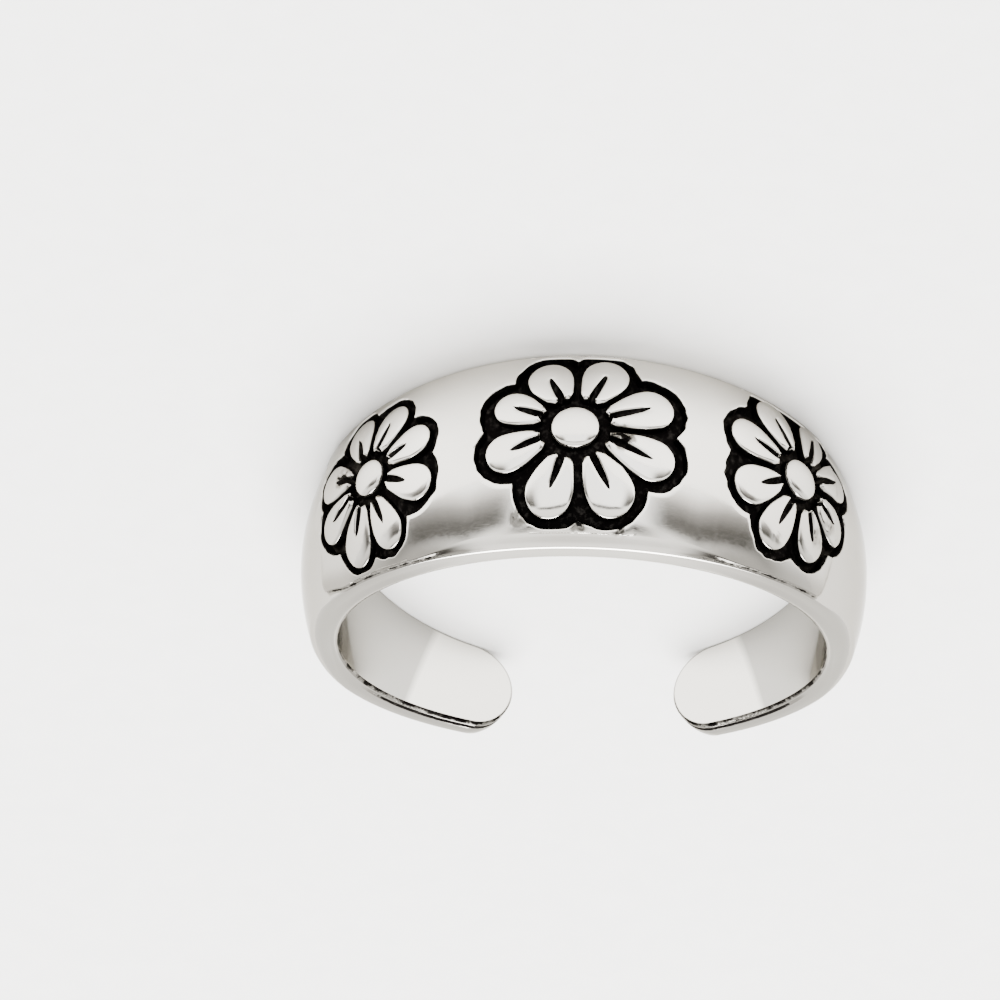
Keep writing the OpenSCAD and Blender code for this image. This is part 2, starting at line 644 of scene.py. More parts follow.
def order_loop(edges: Sequence[bmesh.types.BMEdge], start: Vector) -> Loop:
    """Walks a closed loop of edges anticlockwise.

    Args:
        edges: The edges of one closed loop, seen from above.
        start: Flat point whose nearest vertex comes first.

    Returns:
        The loop's vertices in order.
    """
    beside: dict[bmesh.types.BMVert, list[bmesh.types.BMVert]] = {}
    for edge in edges:
        one, other = edge.verts
        beside.setdefault(one, []).append(other)
        beside.setdefault(other, []).append(one)
    first = min(beside, key=lambda v: (v.co.xy - start.xy).length)
    middle = sum((v.co.xy for v in beside), Vector((0, 0))) / len(beside)
    arm = first.co.xy - middle
    ahead = max(beside[first], key=lambda v: arm.x * (v.co.y - middle.y) - arm.y * (v.co.x - middle.x))
    loop = [first, ahead]
    while len(loop) < len(beside):
        loop.append(next(v for v in beside[loop[-1]] if v is not loop[-2]))
    return loop


class Relief:
    """Builds rings of mesh in flat space and keeps their blackening.

    Attributes:
        bm: The mesh being built.
        band: The plain band under it.
        panel: The raised panel on the band.
        sizes: Heights and edges of the relief.
    """

    def __init__(self, bm: bmesh.types.BMesh, band: BandShape, panel: PanelShape, sizes: ReliefSizes) -> None:
        """Starts on an open mesh.

        Args:
            bm: The mesh to build in.
            band: The plain band.
            panel: The panel on it.
            sizes: The relief's sizes.
        """
        self.bm = bm
        self.band = band
        self.panel = panel
        self.sizes = sizes
        self.coat = bm.verts.layers.float.new("blackening")

    def put(self, vert: bmesh.types.BMVert, spot: Vector, height: float, coat: float) -> None:
        """Sets one vertex over the panel."""
        # Vertices on the panel's surface take its crease blackening and painted shade.
        vert[self.coat] = max(coat, self.panel.stain(spot.x, spot.y)) if height == 0 else coat
        vert.co = self.band.on_top(spot.x, spot.y, self.panel.lift(spot.x, spot.y) + height)

    def ring(self, count: int) -> Loop:
        """Starts a free ring of vertices.

        Args:
            count: Number of vertices.

        Returns:
            The ring's vertices, anticlockwise.
        """
        made = bmesh.ops.create_circle(self.bm, cap_ends=False, radius=1.0, segments=count)
        edges = {e for v in made["verts"] for e in v.link_edges}
        return order_loop(list(edges), Vector((1.0, 0.0, 0.0)))

    def grow(self, loop: Loop) -> Loop:
        """Extrudes a closed loop once.

        Args:
            loop: The loop's vertices in order.

        Returns:
            The new loop's vertices, in the same order.
        """
        edges = [self.between(a, b) for a, b in zip(loop, loop[1:] + loop[:1], strict=True)]
        made = bmesh.ops.extrude_edge_only(self.bm, edges=edges)
        fresh = {g for g in made["geom"] if isinstance(g, bmesh.types.BMVert)}
        return [next(o for o in (e.other_vert(v) for e in v.link_edges) if o in fresh) for v in loop]

    @staticmethod
    def between(one: bmesh.types.BMVert, other: bmesh.types.BMVert) -> bmesh.types.BMEdge:
        """Finds the edge between two vertices."""
        return next(e for e in one.link_edges if e.other_vert(one) is other)

    def lay(self, loop: Loop, spots: Sequence[Vector], heights: Sequence[float], coat: float) -> Loop:
        """Extrudes a loop and sets the new one over the panel.

        Args:
            loop: The loop to grow from.
            spots: Flat places of the new vertices.
            heights: Their heights over the panel.
            coat: Their blackening.

        Returns:
            The new loop.
        """
        fresh = self.grow(loop)
        for vert, spot, height in zip(fresh, spots, heights, strict=True):
            self.put(vert, spot, height, coat)
        return fresh


class Daisy:
    """One daisy: the bed's lobed wall and floor, eight notched petals and the bead.

    Attributes:
        ARC: Steps of mesh along each lobe and round each petal's end.
        SIDE: Steps along each side of a petal.
        ROOT: Steps across each petal's inner end.
        DOME: Steps up the bead's dome.
        FOOT: How far inside its rim the bed's floor starts, in millimetres.
        SHOULDER: From a petal's inner end to where its sides start.
        MOUTH: From a petal's inner end to its notch.
        GAP: From the bead to the edge of the floor round it.
    """

    ARC = 28
    SIDE = 16
    ROOT = 8
    DOME = 12
    FOOT = 0.06
    SHOULDER = 0.1
    MOUTH = 0.07
    GAP = 0.04

    def __init__(self, relief: Relief, sizes: DaisySizes) -> None:
        """Sets up one daisy.

        Args:
            relief: The builder of rings.
            sizes: The daisy's sizes.
        """
        self.relief = relief
        self.sizes = sizes
        self.heart = Vector((sizes.along, sizes.across))
        self.floor = -relief.sizes.bed

    def lobe(self, index: int) -> list[Vector]:
        """Gives the bed's outline round one petal.

        Args:
            index: Which petal.

        Returns:
            Flat points from the cusp before the petal to the cusp after it.
        """
        petal, last = self.sizes.petals[index], self.sizes.petals[index - 1]
        before = polar(last.cusp_way, last.cusp)
        after = polar(petal.cusp_way, petal.cusp)
        radius = petal.lobe - (petal.reach - petal.half)
        middle = polar(petal.way, petal.lobe - radius)
        start = math.atan2(before.y - middle.y, before.x - middle.x)
        sweep = (math.atan2(after.y - middle.y, after.x - middle.x) - start) % math.tau
        points = []
        for step in range(self.ARC + 1):
            share = step / self.ARC
            pull = (1 - share) ** 5 * ((before - middle).length - radius)
            pull += share**5 * ((after - middle).length - radius)
            arm = polar(math.degrees(start + share * sweep), radius + pull)
            spot = self.heart + middle + arm
            uneven = self.relief.sizes.wander * hand_wobble(spot, 1.7, 3.0)
            uneven += 0.9 * self.relief.sizes.wander * hand_wobble(spot, 4.3, 8.0)
            points.append(self.kept_in(self.heart + (middle + arm) * (1 + uneven / 3.0)))
        return points

    def kept_in(self, spot: Vector) -> Vector:
        """Keeps an outline's point on the panel.

        Args:
            spot: Flat point on the outline.

        Returns:
            The point, pulled in where it would reach the panel's edge.
        """
        panel = self.relief.panel
        room = panel.top(spot.x, spot.y) - panel.support - self.relief.sizes.rim - 0.04
        over = abs(spot.y) - (room - 0.05)
        if over <= 0:
            return spot
        held = room - 0.05 * math.exp(-over / 0.05)
        return Vector((spot.x, math.copysign(held, spot.y)))

    def outline(self) -> list[Vector]:
        """Gives the bed's whole outline."""
        return [spot for index in range(len(self.sizes.petals)) for spot in self.lobe(index)[:-1]]

    def bed(self, border: Loop) -> None:
        """Builds the panel round the bed, the bed's rounded rim and its wall.

        Args:
            border: Edge of the hole in the band's mesh, anticlockwise.
        """
        relief, rim = self.relief, self.relief.sizes.rim
        outline = self.outline()
        outs = [(spot - self.heart).normalized() for spot in outline]
        frame_spots = [v.co.xy.copy() for v in border]
        loop = border
        for share in (0.1, 0.26, 0.44, 0.62, 0.78, 0.9):
            spots = [
                a.lerp(b + out * rim, share)
                for a, b, out in zip(frame_spots, outline, outs, strict=True)
            ]
            loop = relief.lay(loop, spots, [0.0] * len(spots), Coat.BARE.value)
        steps = (
            (rim, 0.0, Coat.BARE),
            (0.4 * rim, -0.006, Coat.BARE),
            (0.1 * rim, -0.03, Coat.BARE),
            (-0.1 * rim, -0.06, Coat.BLACK),
            (-0.035, self.floor + 0.05, Coat.BLACK),
            (-self.FOOT, self.floor, Coat.BLACK),
        )
        for offset, height, coat in steps:
            spots = [spot + out * offset for spot, out in zip(outline, outs, strict=True)]
            loop = relief.lay(loop, spots, [height] * len(spots), coat.value)

    def half_at(self, petal: Petal, along: float) -> float:
        """Gives half the petal's width before its round end.

        Args:
            petal: The petal.
            along: Distance from the bead's middle.

        Returns:
            The half width.
        """
        root, narrow = self.sizes.root_r, self.root_half(petal)
        share = (along - root) / (petal.reach - petal.half - root)
        swell = math.sin(min(1.0, max(0.0, share)) * math.pi / 2) ** 1.15
        return narrow + (petal.half - narrow) * swell

    def root_half(self, petal: Petal) -> float:
        """Gives half a petal's width at its inner end, clear of its neighbours.

        Args:
            petal: The petal.

        Returns:
            The half width.
        """
        last = self.sizes.petals[self.sizes.petals.index(petal) - 1]
        room = min((petal.way - last.cusp_way) % 360.0, petal.cusp_way - petal.way)
        return min(self.sizes.root_half, self.sizes.root_r * math.sin(math.radians(room)) - 0.055)

    def notch_at(self, petal: Petal, along: float) -> float:
        """Gives half the notch's width.

        Args:
            petal: The petal.
            along: Distance from the bead's middle.

        Returns:
            The half width, 0 from the notch's point on.
        """
        share = max(0.0, (along - self.sizes.root_r) / (petal.notch - self.sizes.root_r))
        if share >= 1:
            return 0.0
        blade = (0.8 + 0.2 * math.sin(math.pi * share)) * (1 - share) ** 0.34
        return self.relief.sizes.notch_half * blade

    def petal_rim(self, petal: Petal, inset: float) -> list[Vector]:
        """Gives a petal's outline, in its own frame with X away from the bead.

        Args:
            petal: The petal.
            inset: How far inside the outline the points lie.

        Returns:
            Points from the inner end along the near side, round the outer end and back.
        """
        root = self.sizes.root_r + inset
        wide = self.root_half(petal) - inset
        mouth = self.relief.sizes.notch_half * 0.8
        end = petal.reach - petal.half
        inner = [
            Vector((root + self.SHOULDER, -wide)),
            Vector((root, -0.5 * (wide + mouth))),
            Vector((root + 0.05, -mouth - inset)),
            Vector((root + self.MOUTH, -0.85 * mouth)),
            Vector((root + self.MOUTH, 0.0)),
        ]
        inner += [Vector((p.x, -p.y)) for p in reversed(inner[:4])]
        side = []
        for step in range(1, self.SIDE):
            along = root + self.SHOULDER + (end - root - self.SHOULDER) * step / self.SIDE
            side.append(Vector((along, self.half_at(petal, along) - inset)))
        arc = []
        for step in range(self.ARC + 1):
            angle = math.pi / 2 - math.pi * step / self.ARC
            arm = Vector((math.cos(angle), math.sin(angle)))
            arc.append(Vector((end, 0.0)) + (petal.half - inset) * arm)
        back = [Vector((p.x, -p.y)) for p in reversed(side)]
        return inner + side + arc + back

    def petal_spine(self, petal: Petal) -> list[Vector]:
        """Gives the notch's two lips and, past its point, the petal's middle line.

        Args:
            petal: The petal.

        Returns:
            As many points as the petal's outline has, in the same order.
        """
        root = self.sizes.root_r
        end = petal.reach - petal.half
        half_root = self.ROOT // 2
        places = [root + self.MOUTH + self.MOUTH / 2 * step for step in reversed(range(half_root))]
        inner = [Vector((along, -self.notch_at(petal, along))) for along in places]
        start = inner[0].x
        inner.append(Vector((root + self.MOUTH, 0.0)))
        inner += [Vector((p.x, -p.y)) for p in reversed(inner[:half_root])]
        side = []
        for step in range(1, self.SIDE):
            along = start + (end - start) * step / self.SIDE
            side.append(Vector((along, self.notch_at(petal, along))))
        angles = [math.pi * step / self.ARC for step in range(self.ARC + 1)]
        arc = [Vector((end + 0.35 * petal.half * math.sin(angle), 0.0)) for angle in angles]
        back = [Vector((p.x, -p.y)) for p in reversed(side)]
        return inner + side + arc + back

    def sector(self, index: int) -> list[Vector]:
        """Gives the edge of the floor round one petal.

        Args:
            index: Which petal.

        Returns:
            Flat points in the order of the petal's outline.
        """
        foot = self.sizes.bead_r + self.GAP
        arms = [spot - self.heart for spot in self.lobe(index)]
        arc = [self.heart + arm * (1 - self.FOOT / arm.length) for arm in arms]
        after, before = arc[-1], arc[0]
        root_after = self.heart + (after - self.heart).normalized() * foot
        root_before = self.heart + (before - self.heart).normalized() * foot
        ways = [self.sizes.petals[index - 1].cusp_way, self.sizes.petals[index].cusp_way]
        sweep = (ways[1] - ways[0]) % 360.0
        first = math.degrees(math.atan2(*(root_before - self.heart).yx))
        inner = [self.heart + polar(first + sweep * step / self.ROOT, foot) for step in range(self.ROOT + 1)]
        inner[0], inner[-1] = root_before, root_after
        near = [root_after.lerp(after, step / self.SIDE) for step in range(1, self.SIDE)]
        far = [before.lerp(root_before, step / self.SIDE) for step in range(1, self.SIDE)]
        return inner + near + list(reversed(arc)) + far

    def petal(self, index: int) -> None:
        """Builds one petal and the floor round it.

        Args:
            index: Which petal.
        """
        relief, sizes = self.relief, self.relief.sizes
        petal = self.sizes.petals[index]
        turn = Matrix.Rotation(math.radians(petal.way), 2)

        def placed(points: Sequence[Vector]) -> list[Vector]:
            """Moves points from the petal's frame to flat space, with a little wobble."""
            spots = [self.heart + turn @ p for p in points]
            return [s + (turn @ Vector((0.0, 1.0))) * 0.014 * hand_wobble(s, 2.6, 15.0) for s in spots]

        border = self.sector(index)
        loop = relief.ring(len(border))
        for vert, spot in zip(loop, border, strict=True):
            relief.put(vert, spot, self.floor, Coat.BLACK.value)
        foot = placed(self.petal_rim(petal, -0.02))
        between = [a.lerp(b, 0.5) for a, b in zip(border, foot, strict=True)]
        loop = relief.lay(loop, between, [self.floor] * len(foot), Coat.BLACK.value)
        edge = sizes.petal_edge
        walls = (
            (-0.02, self.floor, Coat.BLACK),
            (-0.01, self.floor + 0.04, Coat.BLACK),
            (0.0, edge - 0.05, Coat.BLACK),
            (0.014, edge - 0.016, Coat.BARE),
            (0.034, edge + 0.004, Coat.BARE),
        )
        for inset, height, coat in walls:
            spots = placed(self.petal_rim(petal, inset))
            loop = self.sunk_throat(relief.lay(loop, spots, [height] * len(spots), coat.value))
        rim = placed(self.petal_rim(petal, 0.034))
        spine_points = self.petal_spine(petal)
        spine = placed(spine_points)
        for share in (0.1, 0.24, 0.42, 0.62, 0.82, 0.94, 1.0):
            spots = [a.lerp(b, share) for a, b in zip(rim, spine, strict=True)]
            heights = []
            for p in spine_points:
                notch = min(1.0, abs(p.y) / 0.05)
                roll = 0.03 * notch * max(0.0, (share - 0.82) / 0.18) ** 2
                heights.append(edge + sizes.pillow * (1 - (1 - share) ** 2.4) ** 0.8 + 0.004 - roll)
            loop = self.sunk_throat(relief.lay(loop, spots, heights, Coat.BARE.value))
        self.trench(petal, loop, spine_points, placed)

    def trench(
        self,
        petal: Petal,
        loop: Loop,
        spine: Sequence[Vector],
        placed: Callable[[Sequence[Vector]], list[Vector]],
    ) -> None:
        """Sinks the notch between a petal's two lips.

        Args:
            petal: The petal.
            loop: The ring along the notch's lips.
            spine: That ring's points in the petal's frame.
            placed: Moves points from the petal's frame to flat space.
        """
        relief, sizes = self.relief, self.relief.sizes
        top = sizes.petal_edge + sizes.pillow + 0.004
        root = self.sizes.root_r
        for narrowing, depth in ((0.93, 0.25), (0.0, 1.0)):
            spots = placed([Vector((p.x, p.y * narrowing)) for p in spine])
            heights, coats = [], []
            for p in spine:
                share = min(1.0, max(0.0, (p.x - root) / (petal.notch - root)))
                cut = (top - self.floor) * (1 - share) ** 0.5
                open_here = abs(p.y) > 0
                heights.append(top - cut * depth if open_here or share < 0.2 else top)
                coats.append(Coat.BLACK.value if open_here or share < 0.2 else Coat.BARE.value)
            loop = relief.lay(loop, spots, heights, Coat.BARE.value)
            for vert, coat in zip(loop, coats, strict=True):
                vert[relief.coat] = coat
            self.sunk_throat(loop)

    def sunk_throat(self, loop: Loop) -> Loop:
        """Drops a petal's ring to the black floor where the notch opens at the inner end.

        Args:
            loop: The ring.

        Returns:
            The same ring.
        """
        middle = self.ROOT // 2
        for vert in loop[middle - 1 : middle + 2]:
            self.relief.put(vert, vert.co, self.floor, Coat.BLACK.value)
        return loop

    def bead(self) -> None:
        """Builds the domed bead at the daisy's heart."""
        relief, sizes = self.relief, self.relief.sizes
        start = [spot for index in range(len(self.sizes.petals)) for spot in self.sector(index)[: self.ROOT]]
        loop = relief.ring(len(start))
        for vert, spot in zip(loop, start, strict=True):
            relief.put(vert, spot, self.floor, Coat.BLACK.value)
        rise = sizes.bead_top - self.floor
        outs = [(spot - self.heart).normalized() for spot in start]
        profile = [(1.0, 0.1, Coat.BLACK), (0.99, 0.3, Coat.BLACK), (0.97, 0.46, Coat.BLACK)]
        for step in range(self.DOME + 1):
            angle = math.pi / 2 * (step / self.DOME)
            profile.append((0.955 * math.cos(angle), 0.54 + 0.46 * math.sin(angle), Coat.BARE))
        for share, height, coat in profile:
            spots = [self.heart + out * self.sizes.bead_r * share for out in outs]
            loop = relief.lay(loop, spots, [self.floor + rise * height] * len(spots), coat.value)

    def scar(self) -> None:
        """Roughens the spots where the casting is flawed."""
        relief = self.relief
        for flaw in self.sizes.flaws:
            middle = self.heart + polar(flaw.way, flaw.reach)
            for vert in relief.bm.verts:
                away = (vert.co.xy - middle).length / flaw.radius
                black = vert[relief.coat] == Coat.BLACK.value
                if away >= 1 or black != (flaw.stain < 0):
                    continue
                grain = 0.4 + 1.5 * hand_wobble(vert.co.xy, 4.5, 21.0)
                vert.co.z += flaw.rise * ease(1 - away) * grain
                share = max(0.0, 0.5 + 1.2 * hand_wobble(vert.co.xy, 5.5, 33.0))
                stain = flaw.stain * ease(1 - away) * share
                vert[relief.coat] = min(1.0, max(0.0, vert[relief.coat] + stain))


class RingBand:
    """The whole ring: the band's outer sheet with its daisies, its sides and its bore.

    Attributes:
        ROWS: Steps of mesh across the panel.
        COLUMNS: Steps along each daisy's block.
        TIP_STEPS: Steps round each tip's half circle.
    """

    ROWS = 40
    COLUMNS = 72
    TIP_STEPS = 24

    def __init__(self, band: BandShape, sizes: ReliefSizes, daisies: Sequence[DaisySizes]) -> None:
        """Sets up the ring.

        Args:
            band: The plain band.
            sizes: The relief's sizes.
            daisies: Sizes of the daisies.
        """
        self.band = band
        self.sizes = sizes
        self.panel = PanelShape(band, rise=sizes.rise)
        self.daisies = sorted(daisies, key=lambda d: d.along)
        self.side = SideShape()
        self.stations = self.lay_out()

    def lay_out(self) -> list[float]:
        """Chooses the places of the mesh's columns along the band.

        Returns:
            Flat places from one tip's round end to the other's.
        """
        marks = [-self.band.tip_along(Side.LEFT)]
        steps = [36]
        for daisy in self.daisies:
            marks += list(daisy.columns)
            steps += [self.COLUMNS, 9]
        end = self.panel.ends[1] + self.panel.bulge[1]
        marks += [end + 0.15, self.band.tip_along(Side.RIGHT)]
        steps[-1] = 12
        steps.append(36)
        stations = [marks[0]]
        for first, last, count in zip(marks[:-1], marks[1:], steps, strict=True):
            stations += [first + (last - first) * step / count for step in range(1, count + 1)]
        return stations

    def rows(self, along: float) -> list[float]:
        """Gives the places of the mesh's rows across the band.

        Args:
            along: Flat place along the band.

        Returns:
            Places from the lower side to the upper one.
        """
        edge = self.band.edge(self.band.turn_at(along, self.band.outer_r))
        places: dict[int, list[float]] = {}
        tops = {}
        for sign in (-1, 1):
            rim = self.panel.rim(along, sign)
            foot = rim - 0.03
            step = self.panel.step(along, sign)
            tops[sign] = edge - rim - step - self.panel.support
            first = self.side.across(along)
            insets = (first, (first + foot) / 2, foot, rim, rim + 0.35 * step, rim + 0.7 * step, rim + step)
            places[sign] = [edge - inset for inset in insets]
        low, high = -tops[-1], tops[1]
        middle = [low + (high - low) * step / self.ROWS for step in range(self.ROWS + 1)]
        return [-a for a in places[-1]] + middle + list(reversed(places[1]))

    def build(self) -> bpy.types.Object:
        """Builds the ring's mesh.

        Returns:
            The finished object.
        """
        bm = bmesh.new()
        relief = Relief(bm, self.band, self.panel, self.sizes)
        holes = self.sheet(relief)
        self.tips(relief)
        for vert in bm.verts:
            relief.put(vert, vert.co, 0.0, Coat.BARE.value)
        border = [e for e in bm.edges if e.is_boundary]
        rim_edges = [e for e in border if not any(self.inside(e, hole) for hole in holes)]
        for sizes, hole in zip(self.daisies, holes, strict=True):
            self.daisy(relief, sizes, [e for e in border if self.inside(e, hole)])
        self.sides(relief, rim_edges)
        bmesh.ops.remove_doubles(bm, verts=bm.verts[:], dist=0.0003)
        bmesh.ops.dissolve_degenerate(bm, edges=bm.edges[:], dist=0.0002)
        for vert in bm.verts:
            turn = self.band.turn_at(vert.co.x, self.band.outer_r)
            wall = self.band.outer_radius(turn, 0.0) - self.band.toe_r
            place = self.band.bend(self.side.flared(vert.co, self.band.edge(turn), wall))
            vert.co = [min(high, max(low, c)) for c, low, high in zip(place, *CAD_BOX, strict=True)]
        bmesh.ops.recalc_face_normals(bm, faces=bm.faces[:])
        return self.finish(bm)

    def sheet(self, relief: Relief) -> list[tuple[float, float]]:
        """Lays the flat sheet of the band's outside and opens it for the daisies.

        Args:
            relief: The builder of rings.

        Returns:
            First and last place along the band of each opening.
        """
        columns, rows = len(self.stations), len(self.rows(0.0))
        bmesh.ops.create_grid(relief.bm, x_segments=columns - 1, y_segments=rows - 1, size=1.0)
        places = {}
        for vert in relief.bm.verts:
            column = round((vert.co.x + 1) / 2 * (columns - 1))
            row = round((vert.co.y + 1) / 2 * (rows - 1))
            places[vert] = (column, row)
        across = [self.rows(along) for along in self.stations]
        for vert, (column, row) in places.items():
            vert.co = Vector((self.stations[column], across[column][row], 0.0))
        edge_rows = (rows - 1 - self.ROWS) // 2
        openings = []
        for daisy in self.daisies:
            first, last = (
                min(range(columns), key=lambda c: abs(self.stations[c] - mark)) for mark in daisy.columns
            )
            doomed = [
                face
                for face in relief.bm.faces
                if all(
                    first <= places[v][0] <= last and edge_rows <= places[v][1] <= edge_rows + self.ROWS
                    for v in face.verts
                )
            ]
            bmesh.ops.delete(relief.bm, geom=doomed, context="FACES")
            openings.append((self.stations[first], self.stations[last]))
        return openings

    def inside(self, edge: bmesh.types.BMEdge, hole: tuple[float, float]) -> bool:
        """Says whether an open edge belongs to a daisy's opening.

        Args:
            edge: The edge, in flat space.
            hole: First and last place along the band of the opening.

        Returns:
            True where it does.
        """
        for vert in edge.verts:
            along, across, _ = vert.co
            rim = self.band.edge(self.band.turn_at(along, self.band.outer_r)) - abs(across)
            if not hole[0] - 0.001 <= along <= hole[1] + 0.001 or rim < self.side.across(along) + 0.01:
                return False
        return True

    def tips(self, relief: Relief) -> None:
        """Spins the sheet's end columns into round tips.

        Args:
            relief: The builder of rings.
        """
        for side in Side:
            along = side.value * self.band.tip_along(side)
            column = [v for v in relief.bm.verts if abs(v.co.x - along) < 1e-4 and v.co.y > -1e-4]
            held = set(column)
            edges = [e for e in relief.bm.edges if e.verts[0] in held and e.verts[1] in held]
            bmesh.ops.spin(
                relief.bm,
                geom=column + edges,
                cent=(along, 0.0, 0.0),
                axis=(0.0, 0.0, 1.0),
                angle=-side.value * math.pi,
                steps=self.TIP_STEPS,
                use_merge=False,
                use_duplicate=False,
            )
        bmesh.ops.remove_doubles(relief.bm, verts=relief.bm.verts[:], dist=0.0008)

    def daisy(self, relief: Relief, sizes: DaisySizes, edges: Sequence[bmesh.types.BMEdge]) -> None:
        """Fills one opening with its daisy.

        Args:
            relief: The builder of rings.
            sizes: The daisy's sizes.
            edges: Edges of the opening.
        """
        right = max(v.co.x for e in edges for v in e.verts)
        column = sorted(
            (v for v in {v for e in edges for v in e.verts} if v.co.x > right - 1e-4), key=lambda v: v.co.y
        )
        border = order_loop(edges, column[len(column) // 2].co)
        flower = Daisy(relief, sizes)
        flower.bed(border)
        for index in range(len(sizes.petals)):
            flower.petal(index)
        flower.bead()
        flower.scar()

    def sides(self, relief: Relief, edges: Sequence[bmesh.types.BMEdge]) -> None:
        """Carries the outer sheet's edge over the sides and across the bore.

        Args:
            relief: The builder of rings.
            edges: The sheet's outer edge.
        """
        loop = order_loop(edges, Vector((self.band.tip_along(Side.RIGHT) + 2, 0.0, 0.0)))
        marks = [self.address(v.co) for v in loop]
        steps = [SideStep(outer=math.pi / 8 * step, face=0.0) for step in (1, 2, 3)]
        steps += [SideStep(face=share) for share in (0.0, 0.22, 0.44, 0.64)]
        # A black line runs round each tip, and a broken one along the bore's edge: partly blackening, partly
        # painted shade that covers the edges' highlights.
        at_tips, back, front, all_round = (Zone(start, 2.5) for start in (18.4, 15.0, 3.0, -1.3))
        steps += [SideStep(face=share, stain=1.05, stained=at_tips) for share in (0.72, 0.78, 0.84)]
        steps.append(SideStep(face=0.91))
        steps.append(SideStep(face=0.93, stain=0.5, stained=front))
        steps.append(SideStep(stain=0.6, stained=back))
        steps += [SideStep(inner=math.pi / 6 * step, stain=0.67, stained=all_round) for step in (1, 2)]
        steps.append(SideStep(inner=math.pi / 2, stain=0.8, stained=back))
        steps.append(SideStep(inner=math.pi / 2, past=0.03, coat=Coat.SHADED_BORE))
        for step in steps:
            loop = relief.grow(loop)
            for vert, mark in zip(loop, marks, strict=True):
                vert.co = self.rim_point(mark, step)
                near = step.stained.passed(mark[0]) * max(0.0, math.sin(mark[1])) ** 0.5
                stain = step.stain * near * (0.9 + 0.6 * hand_wobble(vert.co, 2.3, 41.0))
                vert[relief.coat] = stain if stain > 0 else step.coat.value
        starts = [v.co.copy() for v in loop]
        for share in (0.86, 0.68, 0.5, 0.32, 0.15, 0.0):
            loop = relief.grow(loop)
            for vert, start in zip(loop, starts, strict=True):
                side = Side.RIGHT if start.x > 0 else Side.LEFT
                past = max(0.0, abs(start.x) - self.band.tip_along(side))
                along = start.x - side.value * past * (1 - share)
                vert.co = Vector((along, start.y * share, 0.0))
                vert[relief.coat] = Coat.SHADED_BORE.value

    def address(self, flat: Vector) -> tuple[float, float]:
        """Names a place on the band's outline.

        Args:
            flat: Flat point on the outline.

        Returns:
            The place along the band, or its round end's middle, and the outward angle.
        """
        side = Side.RIGHT if flat.x > 0 else Side.LEFT
        end = self.band.tip_along(side)
        if abs(flat.x) <= end + 1e-4:
            return flat.x, math.copysign(math.pi / 2, flat.y)
        return side.value * end, math.atan2(flat.y, flat.x - side.value * end)

    def rim_point(self, mark: tuple[float, float], step: SideStep) -> Vector:
        """Gives the flat point of one ring of the side at a place on the outline.

        Args:
            mark: The place and the outward angle.
            step: The ring.

        Returns:
            The flat point.
        """
        along, angle = mark
        turn = self.band.turn_at(along, self.band.outer_r)
        inset = self.side.across(along) * (1 - math.sin(step.outer))
        inset += self.side.inner * (1 - math.cos(step.inner))
        inset += step.past - self.side.bulge(along, angle) * 4 * step.face * (1 - step.face)
        drop = self.side.down(along) * (1 - math.cos(step.outer))
        low = self.side.inner * (1 - math.sin(step.inner))
        half = self.band.edge(turn)
        spot = Vector((along, 0.0, 0.0))
        for _ in range(3):
            reach = half - inset
            spot = Vector((along + reach * math.cos(angle), reach * math.sin(angle), 0.0))
            spot_turn = self.band.turn_at(spot.x, self.band.outer_r)
            high = self.band.outer_radius(spot_turn, spot.y) - self.band.toe_r
            spot.z = (high - drop) * (1 - step.face) + low * step.face
            half = self.band.half_width(turn, self.band.toe_r + spot.z)
        return spot

    @staticmethod
    def finish(bm: bmesh.types.BMesh) -> bpy.types.Object:
        """Turns the finished mesh into an object.

        Args:
            bm: The mesh.

        Returns:
            The new object, linked to the scene.
        """
        open_edges = sum(1 for e in bm.edges if len(e.link_faces) != 2)
        LOG.info("ring: %d vertices, %d faces, %d open edges", len(bm.verts), len(bm.faces), open_edges)
        mesh = bpy.data.meshes.new("toe_ring_band")
        bm.to_mesh(mesh)
        bm.free()
        mesh.shade_smooth()
        ring = bpy.data.objects.new("toe_ring_band", mesh)
        bpy.context.scene.collection.objects.link(ring)
        return ring


def srgb(code: str) -> tuple[float, float, float, float]:
    """Turns a hex colour into the linear values that a shader takes.

    Args:
        code: Six hex digits after a hash.

    Returns:
        Red, green, blue and an alpha of 1.
    """
    parts = [int(code[i : i + 2], 16) / 255 for i in (1, 3, 5)]
    red, green, blue = (p / 12.92 if p <= 0.04045 else ((p + 0.055) / 1.055) ** 2.4 for p in parts)
    return red, green, blue, 1.0


# Settings that several nodes share
EASED = {"interpolation_type": "SMOOTHSTEP"}
COLOURS = {"data_type": "RGBA"}


class Nodes:
    """Adds nodes and links to one node tree."""

    def __init__(self, tree: bpy.types.NodeTree) -> None:
        """Starts on an empty tree."""
        self.tree = tree
        tree.nodes.clear()

    def add(self, kind: str, settings: dict | None = None, **links: object) -> bpy.types.Node:
        """Adds one node.

        Args:
            kind: The node's type, without the words that all of them start with.
            settings: Properties to set on it, and a colour ramp's stops: place and hex colour.
            **links: Its inputs by name or number, with spaces as underscores: a value or a socket.

        Returns:
            The node.
        """
        node = self.tree.nodes.new("ShaderNode" + kind)
        for name, value in (settings or {}).items():
            if name != "stops":
                setattr(node, name, value)
                continue
            bar = node.color_ramp
            while len(bar.elements) < len(value):
                bar.elements.new(1.0)
            for element, (place, code) in zip(bar.elements, value, strict=True):
                element.position = place
                element.color = srgb(code)
        for name, value in links.items():
            numbered = name[0] == "i" and name[1:].isdigit()
            socket = node.inputs[int(name[1:]) if numbered else name.replace("_", " ")]
            if isinstance(value, bpy.types.NodeSocket):
                self.tree.links.new(value, socket)
            else:
                socket.default_value = value
        return node


